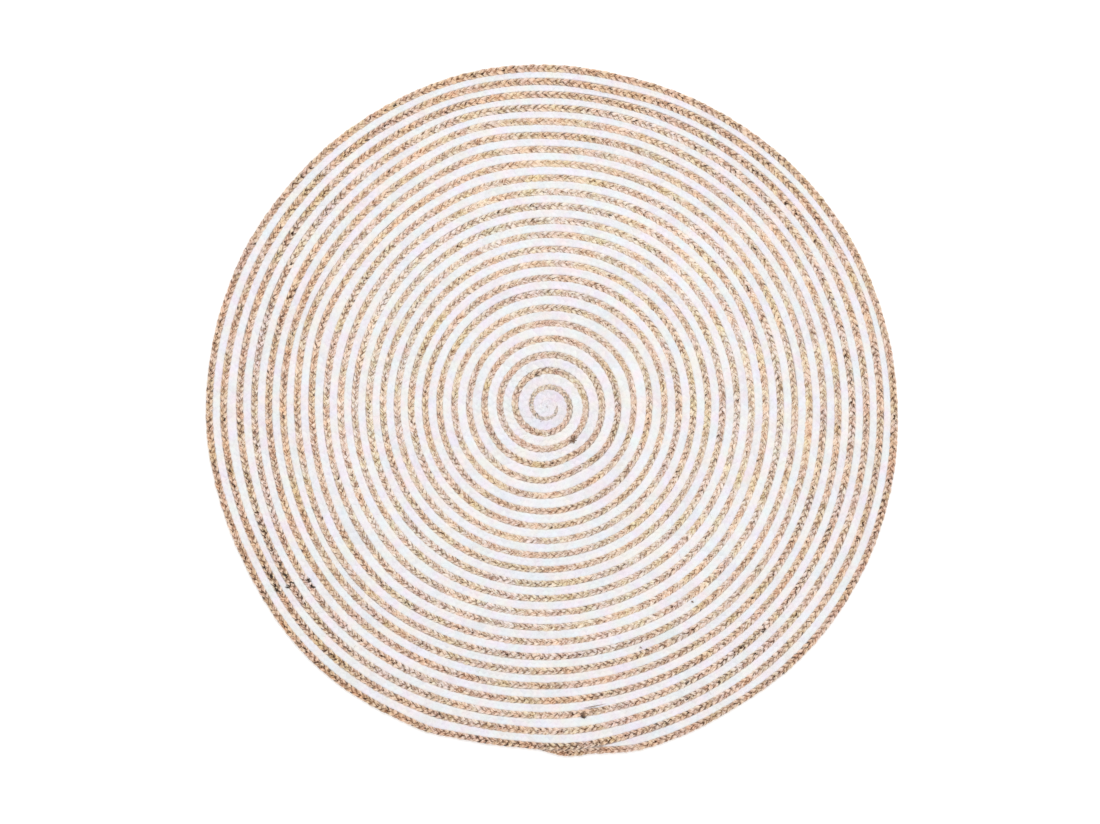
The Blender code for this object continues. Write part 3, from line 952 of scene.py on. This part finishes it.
looseJute = {
    "count": 1300, "longest": 24 * mm, "spread": 1.0, "lift": 2.4 * mm, "steps": 6,
    "thickness": (0.12, 0.30),  # in mm
}
looseWhite = {
    "count": 700, "longest": 15 * mm, "spread": 1.25, "lift": 1.2 * mm, "steps": 5,
    "thickness": (0.12, 0.26),
}


def makeLooseFibres(name, loose, material):
    routes = looseRoutes(random, jutePath, loose)
    thickness = random.uniform(*loose["thickness"], loose["count"]) * mm
    dressExtra(makeFibres(name, routes, thickness), material)


makeLooseFibres("loose_jute_fibres", looseJute, fibreMaterial("looseJute", straw, 0.85))
makeLooseFibres("loose_white_fibres", looseWhite, fibreMaterial("looseWhite", fluff, 0.9))

# Cut ends of the jute where new yarn was laid in: place in mm, size in mm, how many fibres. Many of
# these places are from a list of the photo's darkest specks.
cutEnds = [
    (-598, -387, 5.0, 9), (-518, -380, 6.5, 12), (-525, -367, 6.0, 11), (-607, -359, 5.0, 9),
    (-588, -335, 4.0, 7), (-579, -356, 4.5, 8), (-602, -376, 3.5, 6), (-621, -344, 4.5, 8),
    (-561, -371, 4.5, 8), (-637, -302, 3.0, 5), (15, 11, 2.5, 4), (-35, -10, 2.5, 4),
    (-46, 19, 2.5, 3), (-26, -19, 2.5, 4), (28, 39, 2.5, 5), (-670, 221, 4.5, 8),
    (459, -478, 4.5, 9), (294, -589, 4.5, 9), (-340, 662, 4.5, 9), (-149, -322, 4.0, 8),
    (90, 590, 4.0, 8), (-564, 319, 4.0, 8), (385, 592, 4.0, 7), (-709, -18, 4.0, 7),
]

# The few that stand out further: place and heading (degrees from +X), length and thickness in mm, bend
# in degrees, how many fibres
darkTufts = [
    (-577, -378, -70, 14.0, 1.3, 100, 7), (-38, 76, 22, 12.0, 0.8, 5, 5), (-33, -3, -75, 6.0, 0.8, 20, 3),
    (60, -664, 5, 15.0, 1.3, 10, 7), (50, -656, 10, 8.0, 1.3, 0, 5),
]
tufts = [
    (43, -60, -35, 12.0, 1.1, 20, 16), (46, -63, -80, 8.0, 1.0, 20, 13), (45, -63, -165, 8.0, 1.0, 20, 13),
    (43, -60, 80, 7.0, 0.9, 20, 11), (46, -60, 30, 9.0, 0.9, 10, 11), (-23, -20, -95, 5.5, 0.6, 30, 6),
    (-38, 76, 22, 14.0, 0.9, 8, 9), (-26, 87, 22, 20.0, 0.9, -12, 5), (-10, 93, 60, 9.0, 0.8, -90, 3),
    (62, -658, 10, 15.0, 1.5, 0, 14), (64, -662, 5, 13.0, 1.5, 0, 14), (61, -648, 9.5, 57.0, 0.9, 0, 4),
    (-735, -42, 170, 9.0, 0.5, 40, 2), (302, -413, -25, 7.0, 0.7, 15, 8), (191, -511, -60, 7.0, 0.7, 15, 8),
]


def tuftRoutes(random, x, y, heading, length, spread, bend, count, steps):
    share = np.linspace(0, 1, steps)[None, :]
    turned = np.radians(heading + random.normal(0, spread, count)[:, None] + bend * share)
    reach = length * random.uniform(0.6, 1.1, count)[:, None] / steps
    scatter = min(0.08 * length, 1.0 * mm)
    startX = x + random.normal(0, scatter, count)[:, None]
    startY = y + random.normal(0, scatter, count)[:, None]
    placeX = startX + np.cumsum(np.cos(turned) * reach, axis=1)
    placeY = startY + np.cumsum(np.sin(turned) * reach, axis=1)
    height = 8.2 * mm + 1.0 * mm * np.sin(math.pi * np.minimum(share * 1.3, 1))
    height = height + random.uniform(-0.3, 0.6, count)[:, None] * mm
    return np.stack([placeX, placeY, height], axis=-1)


# Moves a place in mm onto the jute braid, within this share of its half width from its middle line
def ontoJute(x, y, share):
    middleX, middleY = coil["middle"]
    x, y = x * mm + middleX, y * mm + middleY
    angle = math.atan2(-y, x) / math.tau % 1
    turns = angle + np.arange(-1, 22)
    middles = np.interp(turns, jutePath["turn"], jutePath["middle"])
    nearest = int(np.argmin(np.abs(middles - math.hypot(x, y))))
    reach = share * np.interp(turns[nearest], jutePath["turn"], jutePath["half"])
    radius = middles[nearest] + np.clip(math.hypot(x, y) - middles[nearest], -reach, reach)
    angle *= math.tau
    return (radius * math.cos(angle) - middleX) / mm, (-radius * math.sin(angle) - middleY) / mm


# More of them here and there, mostly towards the rim: turns from and to, how many, mm to the side
scattered = {"turns": (6, 21.8), "count": 28, "aside": 4}
first, last = scattered["turns"]
turns = random.triangular(first, last, last, scattered["count"])
for turn, aside in zip(turns, random.uniform(-scattered["aside"], scattered["aside"], scattered["count"])):
    x, y, height = besidePath(jutePath, turn, 0.0, aside * mm, 0.0) / mm
    cutEnds.append((x, y, random.uniform(3.0, 4.0), 6))

routes, thickness = [], []
for x, y, size, count in cutEnds:
    x, y = ontoJute(x, y, 0.6)
    around = math.degrees(math.atan2(y - 10.5, x + 11.5)) + 90
    for heading in around + random.uniform(-25, 25, 2) + (0, 180):
        back = 0.3 * size * mm
        made = tuftRoutes(random, x * mm - back * math.cos(math.radians(heading)),
                          y * mm - back * math.sin(math.radians(heading)),
                          heading, 1.5 * size * mm, 14, 15, count, 5)
        routes.append(made)
        thickness.append(random.uniform(0.18, 0.28, count) * size * mm)
for x, y, heading, length, thick, bend, count in darkTufts:
    routes.append(tuftRoutes(random, x * mm, y * mm, heading, length * mm, 8, bend, count, 5))
    thickness.append(random.uniform(0.7, 1.1, count) * thick * mm)
stubs = makeFibres("cut_yarn_ends", np.concatenate(routes), np.concatenate(thickness))
dressExtra(stubs, fibreMaterial("cutEnds", darkEnds, 0.9))

routes, thickness = [], []
for x, y, heading, length, thick, bend, count in tufts:
    spread = min(14, 170 / length)
    routes.append(tuftRoutes(random, x * mm, y * mm, heading, length * mm, spread, bend, count, 6))
    thickness.append(random.uniform(0.7, 1.1, count) * thick * mm)
standing = makeFibres("yarn_tufts", np.concatenate(routes), np.concatenate(thickness))
dressExtra(standing, fibreMaterial("brownTufts", brown, 0.9))

# The floor, the light and the camera

bpy.ops.mesh.primitive_plane_add(size=80, location=(0, 0, 0))
floor = bpy.context.active_object
floor.name = "floor"
floorMaterial = bpy.data.materials.new("paleFloor")
floorMaterial.use_nodes = True
floorShader = floorMaterial.node_tree.nodes["Principled BSDF"]
floorShader.inputs["Base Color"].default_value = (0.97, 0.97, 0.97, 1)
floorShader.inputs["Roughness"].default_value = 0.9
floorShader.inputs["Emission Color"].default_value = (1.0, 1.0, 1.0, 1)
floorShader.inputs["Emission Strength"].default_value = 0.12
floor.data.materials.append(floorMaterial)

scene = bpy.context.scene
scene.view_settings.view_transform = "Standard"
world = bpy.data.worlds.new("studio")
world.use_nodes = True
world.node_tree.nodes["Background"].inputs["Color"].default_value = (1.0, 1.0, 1.0, 1)
world.node_tree.nodes["Background"].inputs["Strength"].default_value = 0.92
scene.world = world


def addSoftLight(name, place, size, power):
    bpy.ops.object.light_add(type="AREA", location=place)
    light = bpy.context.active_object
    light.name = name
    light.data.shape = "SQUARE"
    light.data.size = size
    light.data.energy = power
    light.rotation_euler = Vector(place).to_track_quat("Z", "Y").to_euler()
    return light


addSoftLight("keyLight", (1.0, 4.0, 6.0), 3.5, 112)

view = {"width": 2.3878, "aim": (-3.64 * mm, -2.48 * mm, 4.5 * mm), "lens": 85.0, "sensor": 36.0}
distance = view["width"] * view["lens"] / view["sensor"]
aimX, aimY, aimZ = view["aim"]
bpy.ops.object.camera_add(location=(aimX, aimY, distance + aimZ), rotation=(0, 0, 0))
camera = bpy.context.active_object
camera.name = "camera"
camera.data.lens = view["lens"]
camera.data.sensor_width = view["sensor"]
camera.data.clip_end = 100
scene.camera = camera

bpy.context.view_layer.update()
report("done")
